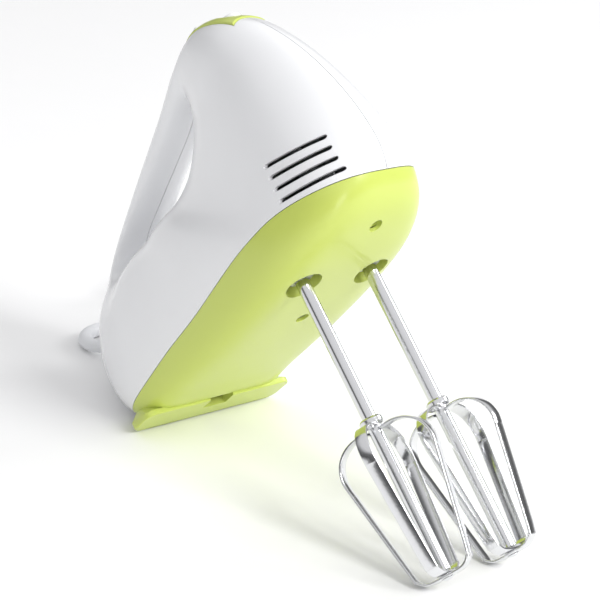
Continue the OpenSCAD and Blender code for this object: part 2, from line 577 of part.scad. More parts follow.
module tube(route, m, d, k = 8) {
  p = path3(route, m);
  n = len(p) - 1;
  pts = [for (i = [0:n]) let(t0 = p[min(i + 1, n)] - p[max(i - 1, 0)], t = t0 / norm(t0),
      s0 = cross(t, [0, 0, 1]), s = s0 / norm(s0), v = cross(s, t))
    for (j = [0:k - 1]) p[i] + (s * cos(360 * j / k) + v * sin(360 * j / k)) * d / 2 / cos(180 / k) * 0.98];
  fcs = concat([[for (j = [0:k - 1]) j]], [[for (j = [0:k - 1]) n * k + k - 1 - j]],
    [for (i = [0:n - 1]) for (j = [0:k - 1]) let(a = i * k + j, b = i * k + (j + 1) % k)
      each [[a, a + k, b + k], [a, b + k, b]]]);
  polyhedron(pts, fcs);
}
module cord() color([0.95, 0.95, 0.96]) tube(lead_route, 3, lead_d);
module cord_tail() color([0.95, 0.95, 0.96]) tube(tail_route, 3, lead_d);
module cord_coil() color([0.95, 0.95, 0.96]) translate([coil_x, coil_y, lead_d + 0.05]) rotate_extrude($fn = 60)
  translate([coil_d / 2, 0]) {
    for (x = [-1, 1]) for (y = [-1, 1])
      translate([x * lead_d / 2, y * lead_d / 2]) circle(d = lead_d, $fn = 24);
    square(lead_d, center = true);
  }
module cord_tie() color([0.2, 0.2, 0.22])
  translate([coil_x, coil_y, lead_d + 0.6]) rotate([0, 0, -70]) translate([0, coil_d / 2, 0]) difference() {
    translate([-2, -lead_d - 0.9, -lead_d - 0.5]) cube([4, 2 * lead_d + 1.8, 2 * lead_d + 1.4]);
    translate([-3, -lead_d - 0.15, -lead_d - 0.75]) cube([6, 2 * lead_d + 0.3, 2 * lead_d + 1]);
  }
module on_coil() translate([plug_x, plug_y, plug_z]) rotate([0, 0, 90]) children();
module plug_body() color([0.95, 0.95, 0.96]) on_coil() difference() {
  union() {
    translate([0, 0, -plug_h / 2]) linear_extrude(plug_h)
      polygon([[-5, 6], [-9, 12], [-13.5, 26], [-13.5, 34], [13.5, 34], [13.5, 26], [9, 12], [5, 6]]);
    rotate([-90, 0, 0]) cylinder(d1 = 8.6, d2 = 11, h = 10);
    translate([-15, 30, -plug_h / 2]) cube([30, 4, plug_h]);
  }
  rotate([-90, 0, 0]) translate([0, 0, -1]) cylinder(d = lead_bore, h = 8.2);
  for (x = [-pin_pitch / 2, pin_pitch / 2])
    translate([x, 26, 0]) rotate([-90, 0, 0]) cylinder(r = pin_root_r + 0.02, h = 10);
  for (z = [-7, 6.35]) for (y = [16, 19, 22, 25]) translate([-6, y, z]) cube([12, 1.2, 0.65]);
}
module plug_pins() color([0.8, 0.78, 0.7]) on_coil() for (x = [-pin_pitch / 2, pin_pitch / 2])
  translate([x, 26.2, 0]) rotate([-90, 0, 0]) {
    cylinder(r = pin_root_r, h = pin_root + 0.1);
    translate([0, 0, pin_root]) cylinder(r = pin_r, h = pin_free);
    translate([0, 0, pin_root + pin_free]) cylinder(r1 = pin_r, r2 = pin_r - pin_point, h = pin_point);
  }

lay() housing_left();
lay() housing_right();
lay() base_shell();
lay() control_panel();
lay() speed_knob();
lay() eject_button();
lay() ejector_plate();
lay() eject_spring();
lay() switch_body();
lay() switch_slider();
lay() switch_contacts();
lay() capacitor();
lay() gear_plate();
lay() gear_cover();
lay() gear_bushes();
lay() spindle_left();
lay() spindle_right();
lay() wheel_left();
lay() wheel_right();
lay() worm();
lay() rotor_shaft();
lay() motor_bushes();
lay() fan();
lay() stator_core();
lay() field_coils();
lay() armature_core();
lay() armature_windings();
lay() commutator();
lay() brush_holders();
lay() brushes();
lay() rear_bracket();
lay() motor_screws();
lay() beater_shaft_left();
lay() beater_shaft_right();
lay() beater_outer_left();
lay() beater_outer_right();
lay() beater_inner_left();
lay() beater_inner_right();
lay() beater_collar_left();
lay() beater_collar_right();
lay() base_screws();
lay() housing_screws();
lay() gear_screws();
lay() cord_guard();
lay() cord_clamp();
lay() clamp_screws();
cord();
cord_coil();
cord_tail();
cord_tie();
plug_body();
plug_pins();
lay() motor_foot();
lay() beater_rivet_left();
lay() beater_rivet_right();
lay() cord_anchor();
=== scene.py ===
"""Hand mixer at rest on a pale worktop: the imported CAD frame, with shells, beaters and a lead."""
import json
import math

import bmesh
import bpy
import numpy as np
from mathutils import Matrix, Vector


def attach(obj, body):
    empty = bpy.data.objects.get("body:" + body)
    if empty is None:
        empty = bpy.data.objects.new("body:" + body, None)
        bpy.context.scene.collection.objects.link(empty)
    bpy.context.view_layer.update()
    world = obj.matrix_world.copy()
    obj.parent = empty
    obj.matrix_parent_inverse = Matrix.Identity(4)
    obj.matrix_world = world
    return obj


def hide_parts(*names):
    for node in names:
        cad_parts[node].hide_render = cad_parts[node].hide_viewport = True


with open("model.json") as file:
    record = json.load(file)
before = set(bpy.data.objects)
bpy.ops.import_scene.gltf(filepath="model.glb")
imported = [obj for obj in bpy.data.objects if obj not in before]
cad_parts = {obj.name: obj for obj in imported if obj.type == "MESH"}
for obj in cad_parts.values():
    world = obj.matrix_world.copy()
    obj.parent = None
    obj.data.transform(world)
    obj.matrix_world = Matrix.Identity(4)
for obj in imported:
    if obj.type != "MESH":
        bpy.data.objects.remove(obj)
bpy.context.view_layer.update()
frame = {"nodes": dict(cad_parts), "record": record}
MM = 0.001

# ------------------------------------------------------------------ the mixer's own directions
HEEL = (-119.0, -5.2)
TIP = (-12.45, -129.25)
LIE = -math.atan2(HEEL[1] - TIP[1], TIP[0] - HEEL[0])


def back_of(f, u):
    """Distance behind the middle, in mm, of a point f forward and u up in the mixer's directions."""
    return -f * math.cos(LIE) - u * math.sin(LIE)


def up_of(f, u):
    """Height, in mm, before the heel is set down."""
    return -f * math.sin(LIE) + u * math.cos(LIE)


LAY_Z = -up_of(*HEEL)
LAY_Y = -(back_of(-118.5, 72.5) + back_of(8.3, -131.8)) / 2 - 1.65
POSE = Matrix.Translation((0, LAY_Y * MM, LAY_Z * MM)) @ Matrix.Rotation(LIE, 4, "X") @ Matrix.Scale(MM, 4)


# ------------------------------------------------------------------ camera
def camera():
    right = Vector((0.741, -0.5196, -0.4254))
    up = Vector((0.1671, -0.4708, 0.8663))
    toward = Vector((-0.6504, -0.7129, -0.262))
    place = toward * 917.85 - right * 15.82 - up * 8.66
    turn = Matrix((right, up, toward)).transposed().to_4x4()
    data = bpy.data.cameras.new("camera")
    data.lens = 132.7
    data.sensor_width = 36
    data.clip_start = 0.05
    cam = bpy.data.objects.new("camera", data)
    bpy.context.scene.collection.objects.link(cam)
    pose = POSE.to_3x3().normalized().to_4x4()
    cam.matrix_world = Matrix.Translation(POSE @ place) @ pose @ turn
    bpy.context.scene.camera = cam


# ------------------------------------------------------------------ mesh helpers
def mesh_object(name, verts, faces, smooth=True):
    data = bpy.data.meshes.new(name)
    data.from_pydata([tuple(v) for v in verts], [], [tuple(f) for f in faces])
    data.validate()
    data.update()
    if smooth:
        data.shade_smooth()
    obj = bpy.data.objects.new(name, data)
    bpy.context.scene.collection.objects.link(obj)
    return obj


def cut(obj, other, how):
    """obj joined to, cut by or kept inside another solid."""
    m = obj.modifiers.new("cut", "BOOLEAN")
    m.operation = how
    m.solver = "MANIFOLD"
    m.object = other
    bpy.context.view_layer.objects.active = obj
    bpy.ops.object.modifier_apply(modifier=m.name)
    bpy.data.objects.remove(other)
    return obj


def smooth_by_angle(obj, degrees=32):
    bpy.context.view_layer.objects.active = obj
    for o in bpy.context.selected_objects:
        o.select_set(False)
    obj.select_set(True)
    bpy.ops.object.shade_smooth_by_angle(angle=math.radians(degrees))
    return obj


def posed(obj):
    """Places an object built in the mixer's directions, in millimetres."""
    obj.data.transform(POSE)
    obj.data.update()
    return obj


# ------------------------------------------------------------------ body skin
# outer forward, outer up, inner forward, inner up, half width, bias, roundness
STATIONS = [
    (0, 127, -27, 104, 15, 1.0, 0.8),
    (20, 117, -27, 97, 18, 1.0, 0.8),
    (35, 99, -31, 91, 20.5, 1.0, 0.88),
    (47, 76, -37, 85, 24, 1.0, 0.92),
    (55, 50, -45, 79, 27.5, 1.05, 0.9),
    (56, 27, -53, 76, 30.5, 1.2, 0.84),
    (45, 11, -60, 74, 34, 1.45, 0.75),
    (20, 3, -66, 72.5, 38.6, 1.75, 0.64),
    (-12, -1, -73, 71.5, 40, 1.9, 0.6),
    (-48, -3, -81, 70, 40, 2.0, 0.6),
    (-84, -3.4, -90, 69, 40, 2.0, 0.55),
    (-113, -3.2, -98, 67.5, 40, 1.9, 0.55),
    (-130, 10, -105, 66.5, 36, 1.6, 0.65),
    (-138, 34, -109, 69, 28, 1.3, 0.75),
    (-132, 56, -107, 73, 19, 1.1, 0.8),
    (-115, 76, -99, 79, 14.5, 1.0, 0.8),
    (-81, 95, -77, 87, 13, 1.0, 0.8),
    (-43, 112, -48, 97, 13, 1.0, 0.8),
    (-18, 123, -34, 103, 14, 1.0, 0.8),
]
SEAM = [(-150, 0), (-113, 5.5), (-76, 11.5), (-42, 15.6), (-1, 23), (19, 25.4), (44, 23), (70, 18)]
WALL = 2.2
VENT_LEN = 27
VENT_W = 1.9
GAP = 0.3


def catmull(p, steps, closed=True):
    """Points of a curve through p, steps to a span."""
    p = np.asarray(p, float)
    n = len(p)
    out = []
    for i in range(n if closed else n - 1):
        if closed:
            a, b, c, d = p[i - 1], p[i], p[(i + 1) % n], p[(i + 2) % n]
        else:
            a, b, c, d = p[max(i - 1, 0)], p[i], p[i + 1], p[min(i + 2, n - 1)]
        for s in np.arange(steps) / steps:
            out.append(
                0.5 * (2 * b + (c - a) * s + (2 * a - 5 * b + 4 * c - d) * s**2
                       + (3 * b - a - 3 * c + d) * s**3)
            )
    if not closed:
        out.append(p[-1])
    return np.array(out)


def skin(name, inset, steps=10, half=40):
    """The closed body surface round the handle opening, moved inwards by inset millimetres."""
    verts = []
    rings = catmull(STATIONS, steps)
    for fo, uo, fi, ui, width, bias, power in rings:
        o = np.array((fo, uo))
        n = np.array((fi, ui))
        to = (n - o) / np.linalg.norm(n - o)
        o = o + to * inset
        n = n - to * inset
        for j in range(2 * half):
            a = math.pi * j / half
            t = ((1 - math.cos(a)) / 2) ** bias
            s = math.sin(a)
            x = 0.0 if j % half == 0 else math.copysign((width - inset) * abs(s) ** power, s)
            p = o + (n - o) * t
            verts.append((x, -p[0], p[1]))
    k = 2 * half
    count = len(rings)
    faces = [
        (i * k + j, ((i + 1) % count) * k + j, ((i + 1) % count) * k + (j + 1) % k, i * k + (j + 1) % k)
        for i in range(count)
        for j in range(k)
    ]
    obj = mesh_object(name, verts, faces)
    return obj


def prism(points, x0, x1):
    """A slab from x0 to x1 whose outline is drawn as (forward, up)."""
    n = len(points)
    verts = [(x, -f, u) for x in (x0, x1) for f, u in points]
    faces = [tuple(range(n)), tuple(range(2 * n - 1, n - 1, -1))]
    faces += [(i, i + n, (i + 1) % n + n, (i + 1) % n) for i in range(n)]
    obj = mesh_object("prism", verts, faces, False)
    fix_normals(obj)
    return obj


def fix_normals(obj):
    b = bmesh.new()
    b.from_mesh(obj.data)
    bmesh.ops.recalc_face_normals(b, faces=b.faces)
    b.to_mesh(obj.data)
    b.free()


def rounded_bar(a, b, width, direction, length, sides=12):
    """A slot cutter: a stadium from a to b, width across, pushed length along direction."""
    a, b, direction = (np.asarray(v, float) for v in (a, b, direction))
    along = (b - a) / np.linalg.norm(b - a)
    across = np.cross(direction, along)
    ring = []
    for i in range(sides + 1):
        t = math.pi * (i / sides - 0.5)
        ring.append(b + (along * math.cos(t) + across * math.sin(t)) * width / 2)
    for i in range(sides + 1):
        t = math.pi * (i / sides + 0.5)
        ring.append(a + (along * math.cos(t) + across * math.sin(t)) * width / 2)
    n = len(ring)
    verts = ring + [p + direction * length for p in ring]
    faces = [tuple(range(n)), tuple(range(2 * n - 1, n - 1, -1))]
    faces += [(i, i + n, (i + 1) % n + n, (i + 1) % n) for i in range(n)]
    obj = mesh_object("bar", verts, faces, False)
    fix_normals(obj)
    return obj


def seam_line(rise):
    return [(f, u + rise) for f, u in catmull(SEAM, 8, closed=False)]


def solid_box(f0, f1, x0, x1, u0, u1):
    return prism([(f0, u0), (f1, u0), (f1, u1), (f0, u1)], x0, x1)


def drum(centre, axis, radius, length, sides=64):
    """A plain cutter cylinder centred on a point, in the mixer's x, y, z."""
    bpy.ops.mesh.primitive_cylinder_add(vertices=sides, radius=radius, depth=length)
    obj = bpy.context.object
    obj.data.transform(Vector((0, 0, 1)).rotation_difference(Vector(axis)).to_matrix().to_4x4())
    obj.data.transform(Matrix.Translation(Vector(centre)))
    return obj


# ------------------------------------------------------------------ materials
def link(tree, a, b):
    tree.links.new(a, b)


def material(name, colour, rough, metal=0.0, coat=0.0, grain=600.0, bump=0.02, spread=0.05, wear=0.05,
             subsurface=0.0, edge=0.0004):
    """A finish with uneven colour, uneven gloss, fine grain and softly rounded edges."""
    mat = bpy.data.materials.new(name)
    mat.use_nodes = True
    tree = mat.node_tree
    shader = tree.nodes["Principled BSDF"]
    place = tree.nodes.new("ShaderNodeTexCoord")
    cloud = tree.nodes.new("ShaderNodeTexNoise")
    cloud.inputs["Scale"].default_value = 28
    cloud.inputs["Detail"].default_value = 4
    link(tree, place.outputs["Object"], cloud.inputs["Vector"])
    mix = tree.nodes.new("ShaderNodeMix")
    mix.data_type = "RGBA"
    mix.inputs["A"].default_value = (*[c * (1 - spread) for c in colour], 1)
    mix.inputs["B"].default_value = (*[min(1, c * (1 + spread)) for c in colour], 1)
    link(tree, cloud.outputs["Fac"], mix.inputs["Factor"])
    link(tree, mix.outputs["Result"], shader.inputs["Base Color"])
    fine = tree.nodes.new("ShaderNodeTexNoise")
    fine.inputs["Scale"].default_value = grain
    fine.inputs["Detail"].default_value = 3
    link(tree, place.outputs["Object"], fine.inputs["Vector"])
    span = tree.nodes.new("ShaderNodeMapRange")
    span.inputs["To Min"].default_value = max(0.0, rough - wear)
    span.inputs["To Max"].default_value = min(1.0, rough + wear)
    link(tree, fine.outputs["Fac"], span.inputs["Value"])
    link(tree, span.outputs["Result"], shader.inputs["Roughness"])
    bevel = tree.nodes.new("ShaderNodeBevel")
    bevel.inputs["Radius"].default_value = edge
    bevel.samples = 4
    relief = tree.nodes.new("ShaderNodeBump")
    relief.inputs["Strength"].default_value = bump
    relief.inputs["Distance"].default_value = 0.0004
    link(tree, fine.outputs["Fac"], relief.inputs["Height"])
    link(tree, bevel.outputs["Normal"], relief.inputs["Normal"])
    link(tree, relief.outputs["Normal"], shader.inputs["Normal"])
    shader.inputs["Metallic"].default_value = metal
    shader.inputs["Coat Weight"].default_value = coat
    shader.inputs["Coat Roughness"].default_value = 0.06
    shader.inputs["Subsurface Weight"].default_value = subsurface
    shader.inputs["Subsurface Scale"].default_value = 0.004
    return mat


WHITE = material("white_gloss", (0.84, 0.845, 0.86), 0.24, coat=0.3, bump=0.006, spread=0.012, wear=0.03)
GREEN = material("lime_gloss", (0.56, 0.65, 0.13), 0.3, coat=0.25, bump=0.008, spread=0.025, wear=0.03)
CHROME = material("chrome", (0.74, 0.745, 0.76), 0.12, metal=1.0, grain=900, bump=0.03,
                  spread=0.03, wear=0.06)
VINYL = material("white_vinyl", (0.8, 0.81, 0.83), 0.42, grain=1500, bump=0.05, spread=0.02)
STEEL = material("zinc_steel", (0.5, 0.51, 0.53), 0.32, metal=1.0, grain=1200, bump=0.06,
                 spread=0.08, wear=0.1)
CORE = material("laminated_steel", (0.2, 0.2, 0.21), 0.5, metal=0.8, grain=1800, bump=0.2, spread=0.12)
COPPER = material("winding_copper", (0.5, 0.2, 0.07), 0.35, metal=0.85, grain=1400, bump=0.3, spread=0.12)
BRONZE = material("sintered_bronze", (0.45, 0.3, 0.14), 0.45, metal=0.9, grain=1300, bump=0.15, spread=0.1)
NICKEL = material("nickel_pins", (0.62, 0.58, 0.5), 0.2, metal=1.0, grain=900, bump=0.03, spread=0.05)
GREY = material("grey_moulding", (0.2, 0.21, 0.23), 0.5, grain=800, bump=0.15, spread=0.08)
NYLON = material("natural_nylon", (0.72, 0.69, 0.58), 0.45, grain=700, bump=0.08, spread=0.04, subsurface=0.1)
BLACK = material("black_moulding", (0.02, 0.02, 0.022), 0.45, grain=900, bump=0.12, spread=0.2)
ORANGE = material("orange_moulding", (0.5, 0.12, 0.04), 0.45, grain=900, bump=0.1, spread=0.08)
FILM = material("dipped_film", (0.45, 0.28, 0.04), 0.3, grain=700, bump=0.08, spread=0.08)
SLOT_FINISH = {
    "white_shell": WHITE, "green_shell": GREEN, "white_flex": VINYL, "tie": BLACK, "pins": NICKEL,
    "chrome": CHROME, "steel": STEEL, "core": CORE, "copper": COPPER, "bronze": BRONZE,
    "frame_plastic": GREY, "nylon": NYLON, "dark_plastic": BLACK, "slider_plastic": ORANGE, "film": FILM,
}


def finish_with(obj, mat):
    obj.data.materials.clear()
    obj.data.materials.append(mat)
    return obj


def piece(obj, mat, body, slot, *nodes):
    """Gives a built object its finish, its body and the CAD nodes that it stands for."""
    finish_with(obj, mat)
    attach(obj, body)
    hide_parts(*nodes)
    return obj


def dress_cad():
    for part in frame["record"]["subparts"]:
        obj = frame["nodes"][part["node"]]
        finish_with(obj, SLOT_FINISH[part["material_slot"]])


# ------------------------------------------------------------------ lead
LEAD_D = 6.4
COIL = (78.0, 134.0)
COIL_R = 36.0
PLUG = (98.0, 164.0, 19.75)
LEAD_Z = 3.45
COIL_LOW = 3.25
COIL_GAP = 0.8
ON_COIL = 16.35
TURN_START = 254
TURN_STEP = 24
EXIT = (-137.0, 33.0)
TILT = math.radians(40)


def lead_points():
    """The lead from inside its guard, along the worktop, round the coil and into the plug."""
    ey = back_of(*EXIT) + LAY_Y
    ez = up_of(*EXIT) + LAY_Z
    ry = math.cos(TILT) * math.cos(LIE) - math.sin(TILT) * math.sin(LIE)
    rz = math.cos(TILT) * math.sin(LIE) + math.sin(TILT) * math.cos(LIE)
    pts = [(0, ey + d * ry, ez + d * rz) for d in (-26, -8, 8, 22.5, 25.5)]
    pts += [(-1.8, 130.5, 5.5), (-4.2, 137, 3.9), (-3.5, 144, LEAD_Z), (2, 149.5, LEAD_Z), (11, 152, LEAD_Z)]
    pts += [(21, 150, LEAD_Z), (28.5, 144, LEAD_Z)]
    out = COIL_R + 1.5 * LEAD_D + COIL_GAP
    outer = COIL_R + LEAD_D / 2
    inner = COIL_R - LEAD_D / 2
    low = COIL_LOW
    high = COIL_LOW + LEAD_D

    def ring(degrees, radius, height):
        a = math.radians(degrees)
        pts.append((COIL[0] + radius * math.cos(a), COIL[1] + radius * math.sin(a), height))

    for degrees in (180, 195, 212, 230):
        ring(degrees, out, LEAD_Z)
    for turn, (radius, height) in enumerate([(outer, low), (inner, low), (inner, high), (outer, high)]):
        for step in range(14 if turn == 3 else 15):
            ring(TURN_START + 360 * turn + TURN_STEP * step, radius, height)
    ring(222, outer, high + 2.5)
    ring(240, outer, high + 5)
    ring(260, outer, ON_COIL - 0.1)
    for degrees in (282, 303, 320):
        ring(degrees, outer, ON_COIL)
    ring(340, 39, 17.3)
    ring(2, 37, 18.9)
    pts += [(COIL[0] + 36.5, COIL[1] + 13, 19.6), (COIL[0] + 32, COIL[1] + 24, PLUG[2])]
    pts += [(COIL[0] + 26.5, COIL[1] + 29, PLUG[2]), (PLUG[0] + 1.5, PLUG[1], PLUG[2])]
    pts += [(PLUG[0] - 6, PLUG[1], PLUG[2])]
    return [Vector(p) * MM for p in catmull(pts, 6, closed=False)]


def lead():
    points = lead_points()
    data = bpy.data.curves.new("lead", "CURVE")
    data.dimensions = "3D"
    data.bevel_depth = LEAD_D / 2 * MM
    data.bevel_resolution = 6
    data.use_fill_caps = True
    line = data.splines.new("POLY")
    line.points.add(len(points) - 1)
    for slot, point in zip(line.points, points):
        slot.co = (*point, 1)
    line.use_smooth = True
    obj = bpy.data.objects.new("lead", data)
    bpy.context.scene.collection.objects.link(obj)
    length = sum((b - a).length for a, b in zip(points, points[1:]))
    obj.data.materials.append(VINYL)
    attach(obj, "housing")
    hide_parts("cord", "cord_coil", "cord_tail")
    return obj, length


# ------------------------------------------------------------------ shells
def above(rise):
    return prism(seam_line(rise) + [(70, 160), (-170, 160)], -60, 60)


def below(drop):
    return prism(seam_line(-drop) + [(70, -40), (-170, -40)], -60, 60)


def side_vents():
    cutters = []
    for i in range(4):
        front = 48.4 + i * 0.6
        a = (10, VENT_LEN - front, 46 - 5.65 * i)
        b = (10, -front, 42.2 - 5.3 * i)
        cutters.append(rounded_bar(a, b, VENT_W, (1, 0, 0), 40))
    return cutters


def rear_vents():
    return [rounded_bar((11, 150, 14 + 5 * i), (19, 150, 14 + 5 * i), 1.6, (0, -1, 0), 26) for i in range(5)]


def outlet_drum(radius, length):
    y = -EXIT[0]
    axis = (0, math.cos(TILT), math.sin(TILT))
    return drum((0, y, EXIT[1]), axis, radius, length)


def white_half(name, side):
    obj = skin(name, 0)
    cut(obj, skin("inner", WALL, 5, 20), "DIFFERENCE")
    cut(obj, above(GAP / 2), "INTERSECT")
    cut(obj, solid_box(-170, 100, GAP / 2, 70, -40, 160), "INTERSECT")
    for cutter in side_vents() + rear_vents():
        cut(obj, cutter, "DIFFERENCE")
    cut(obj, solid_box(-20.5, 21.5, -1, 9.3, 106, 150), "DIFFERENCE")
    cut(obj, outlet_drum(4.7, 24), "DIFFERENCE")
    if side < 0:
        obj.data.transform(Matrix.Scale(-1, 4, (1, 0, 0)))
        obj.data.flip_normals()
    smooth_by_angle(obj)
    return posed(obj)


def shells():
    piece(white_half("shell_left", 1), WHITE, "housing", "white_shell", "housing_left")
    piece(white_half("shell_right", -1), WHITE, "housing", "white_shell", "housing_right")

def hull_of(points):
    """The convex solid round a cloud of points given as (x, y, z)."""
    data = bpy.data.meshes.new("hull")
    b = bmesh.new()
    for point in points:
        b.verts.new(point)
    bmesh.ops.convex_hull(b, input=b.verts)
    bmesh.ops.delete(b, geom=[v for v in b.verts if not v.link_faces], context="VERTS")
    bmesh.ops.recalc_face_normals(b, faces=b.faces)
    b.to_mesh(data)
    b.free()
    obj = bpy.data.objects.new("hull", data)
    bpy.context.scene.collection.objects.link(obj)
    return obj


def circle_points(f, x, u, radius, sides=40):
    return [(x + radius * math.cos(2 * math.pi * i / sides),
             -f + radius * math.sin(2 * math.pi * i / sides), u)
            for i in range(sides)]


def heel_foot():
    points = []
    for side in (-1, 1):
        points += circle_points(HEEL[0] + 5.5, 36 * side, HEEL[1], 4.9)
        points += circle_points(HEEL[0] + 5.5, 36 * side, HEEL[1] + 0.6, 5.5)
        points += circle_points(HEEL[0] + 5.5, 36 * side, HEEL[1] + 3.4, 5.5)
        points += circle_points(-106, 37 * side, HEEL[1], 4.1)
        points += circle_points(-106, 37 * side, HEEL[1] + 0.4, 4.5)
        points += circle_points(-106, 37 * side, HEEL[1] + 2.4, 4.5)
        points += circle_points(-114, 33 * side, 2, 3)
        points += circle_points(-114, 33 * side, 4.2, 2)
    foot = hull_of(points)
    return cut(foot, skin("inner", WALL / 2, 5, 20), "DIFFERENCE")


def base_fittings():
    """Collars round the beater holes, screw posts and floor ribs, cut to the inside of the shell."""
    made = ring_lathe([(8.3, -2), (10.3, -2), (10.3, 5.5), (8.3, 5.5)], 0, 19)
    cut(made, ring_lathe([(8.3, -2), (10.3, -2), (10.3, 5.5), (8.3, 5.5)], 0, -19), "UNION")
    cut(made, ring_lathe([(1.7, 7.6), (5, 7.6), (5, 18.6), (1.7, 18.6)], 33.6, 0), "UNION")
    cut(made, ring_lathe([(1.7, -2.6), (5, -2.6), (5, 2.6), (1.7, 2.6)], -30.6, 0), "UNION")
    for f in (-45, -58, -71, -84, -97):
        cut(made, solid_box(f - 0.8, f + 0.8, -26, 26, -4, 0), "UNION")
    return cut(made, skin("inner", WALL * 0.6, 5, 20), "INTERSECT")


def base():
    obj = skin("base", 0)
    cut(obj, skin("inner", WALL, 5, 20), "DIFFERENCE")
    cut(obj, below(GAP / 2), "INTERSECT")
    cut(obj, base_fittings(), "UNION")
    cut(obj, heel_foot(), "UNION")
    for x in (-19, 19):
        cut(obj, drum((x, 0, 1), (0, 0, 1), 8.3, 26), "DIFFERENCE")
    for f, u in ((33.6, 7.6), (-30.6, -2.6)):
        cut(obj, drum((0, -f, u - 2), (0, 0, 1), 3.1, 12), "DIFFERENCE")
        cut(obj, drum((0, -f, u + 12), (0, 0, 1), 1.7, 40), "DIFFERENCE")
    cut(obj, solid_box(-109, -101, -6.5, 6.5, -12, 8), "DIFFERENCE")
    smooth_by_angle(obj)
    piece(posed(obj), GREEN, "housing", "green_shell", "base_shell")


# ------------------------------------------------------------------ controls
CREST = Matrix.Translation((0, 8.5, 126)) @ Matrix.Rotation(math.radians(-11), 4, "X")
EJECT_F = 12


def top_u(f):
    """Height of the crest above the panel."""
    return 127 + f * 0.22 if f < 0 else 127 - f * 0.12 - f * f * 0.019


def panel():
    obj = skin("panel", -0.7)
    cut(obj, skin("inner", WALL - 0.4, 8, 32), "DIFFERENCE")
    cut(obj, solid_box(-20.2, 21.2, -9, 9, 106, 150), "INTERSECT")
    track = solid_box(-3.6, 11, -3.4, 3.4, -20, 20)
    track.data.transform(CREST)
    cut(obj, track, "DIFFERENCE")
    cut(obj, drum((0, -EJECT_F, 120), (0, 0, 1), 5.3, 40), "DIFFERENCE")
    for i in range(8):
        f = -13.2 + 2.4 * i
        level = top_u(f) + 0.2
        cut(obj, rounded_bar((5.6, -f, level), (7.4, -f, level), 0.6, (0, 0, 1), 3), "DIFFERENCE")
    smooth_by_angle(obj)
    piece(posed(obj), GREEN, "housing", "green_shell", "control_panel")


def block(f0, f1, x0, x1, u0, u1, radius):
    """A moulded block with rounded edges."""
    obj = solid_box(f0, f1, x0, x1, u0, u1)
    m = obj.modifiers.new("round", "BEVEL")
    m.width = radius
    m.segments = 3
    bpy.context.view_layer.objects.active = obj
    bpy.ops.object.modifier_apply(modifier=m.name)
    return obj


def knob():
    obj = block(-4.6, 4.6, -5.4, 5.4, 0.8, 2.2, 0.4)
    cut(obj, block(-3, 3, -3, 3, -9, 0.9, 0.2), "UNION")
    for f in (-3.4, -0.5, 2.4):
        cut(obj, block(f, f + 1, -4.8, 4.8, 1.9, 2.7, 0.3), "UNION")
    obj.name = "speed_slide_knob"
    obj.data.transform(CREST)
    smooth_by_angle(obj)
    piece(posed(obj), WHITE, "speed_control", "white_shell", "speed_knob")


def button():
    rim = [(0, 50.2), (2.4, 50.2), (2.4, 108), (5, 108), (5, 121.2), (4.7, 121.9), (4.1, 122.2),
           (2.6, 121.9), (0, 121.7)]
    obj = lathe("ejector_button", rim, EJECT_F, 0)
    piece(posed(obj), WHITE, "ejector", "white_shell", "eject_button")


# ------------------------------------------------------------------ turned parts
def lathe(name, profile, f, x, sides=72):
    """A turned solid from (radius, height) points that start and end on its axis."""
    verts = []
    faces = []
    rows = []
    for r, z in profile:
        if r == 0:
            rows.append([len(verts)])
            verts.append((x, -f, z))
            continue
        rows.append(list(range(len(verts), len(verts) + sides)))
        for i in range(sides):
            a = 2 * math.pi * i / sides
            verts.append((x + r * math.cos(a), -f + r * math.sin(a), z))
    for lower, upper in zip(rows, rows[1:]):
        for i in range(sides):
            j = (i + 1) % sides
            if len(lower) == 1:
                faces.append((lower[0], upper[j], upper[i]))
            elif len(upper) == 1:
                faces.append((lower[i], lower[j], upper[0]))
            else:
                faces.append((lower[i], lower[j], upper[j], upper[i]))
    obj = mesh_object(name, verts, faces)
    fix_normals(obj)
    smooth_by_angle(obj)
    return obj


def ring_lathe(profile, f, x, sides=72):
    """A turned ring whose closed section is given as (radius, height)."""
    verts = []
    for r, z in profile:
        for i in range(sides):
            a = 2 * math.pi * i / sides
            verts.append((x + r * math.cos(a), -f + r * math.sin(a), z))
    n = len(profile)
    faces = [(p * sides + i, p * sides + (i + 1) % sides, ((p + 1) % n) * sides + (i + 1) % sides,
              ((p + 1) % n) * sides + i) for p in range(n) for i in range(sides)]
    obj = mesh_object("ring", verts, faces)
    fix_normals(obj)
    return obj


# ------------------------------------------------------------------ beaters
HEAD_R = 21.5
STRIP_W = 5.6
STRIP_T = 1.1
DROP = 132
HEAD_TOP = -65.5
TURN = {"right": -62, "left": 107}


def loop_half(z1, z0):
    r = HEAD_R
    return [
        (3.15, z1), (8, z1 + 0.4), (12.8, z1 - 0.6), (17, z1 - 3), (20, z1 - 6.6), (r, z1 - 11.5),
        (r - 0.3, z1 - 16),
        (r - 1.3, z1 - 21), (r - 8.4, z0 + 6.5), (r - 9.6, z0 + 3.2), (r - 11.8, z0 + 1.1),
        (r - 14.3, z0 + 0.2), (3, z0),
    ]


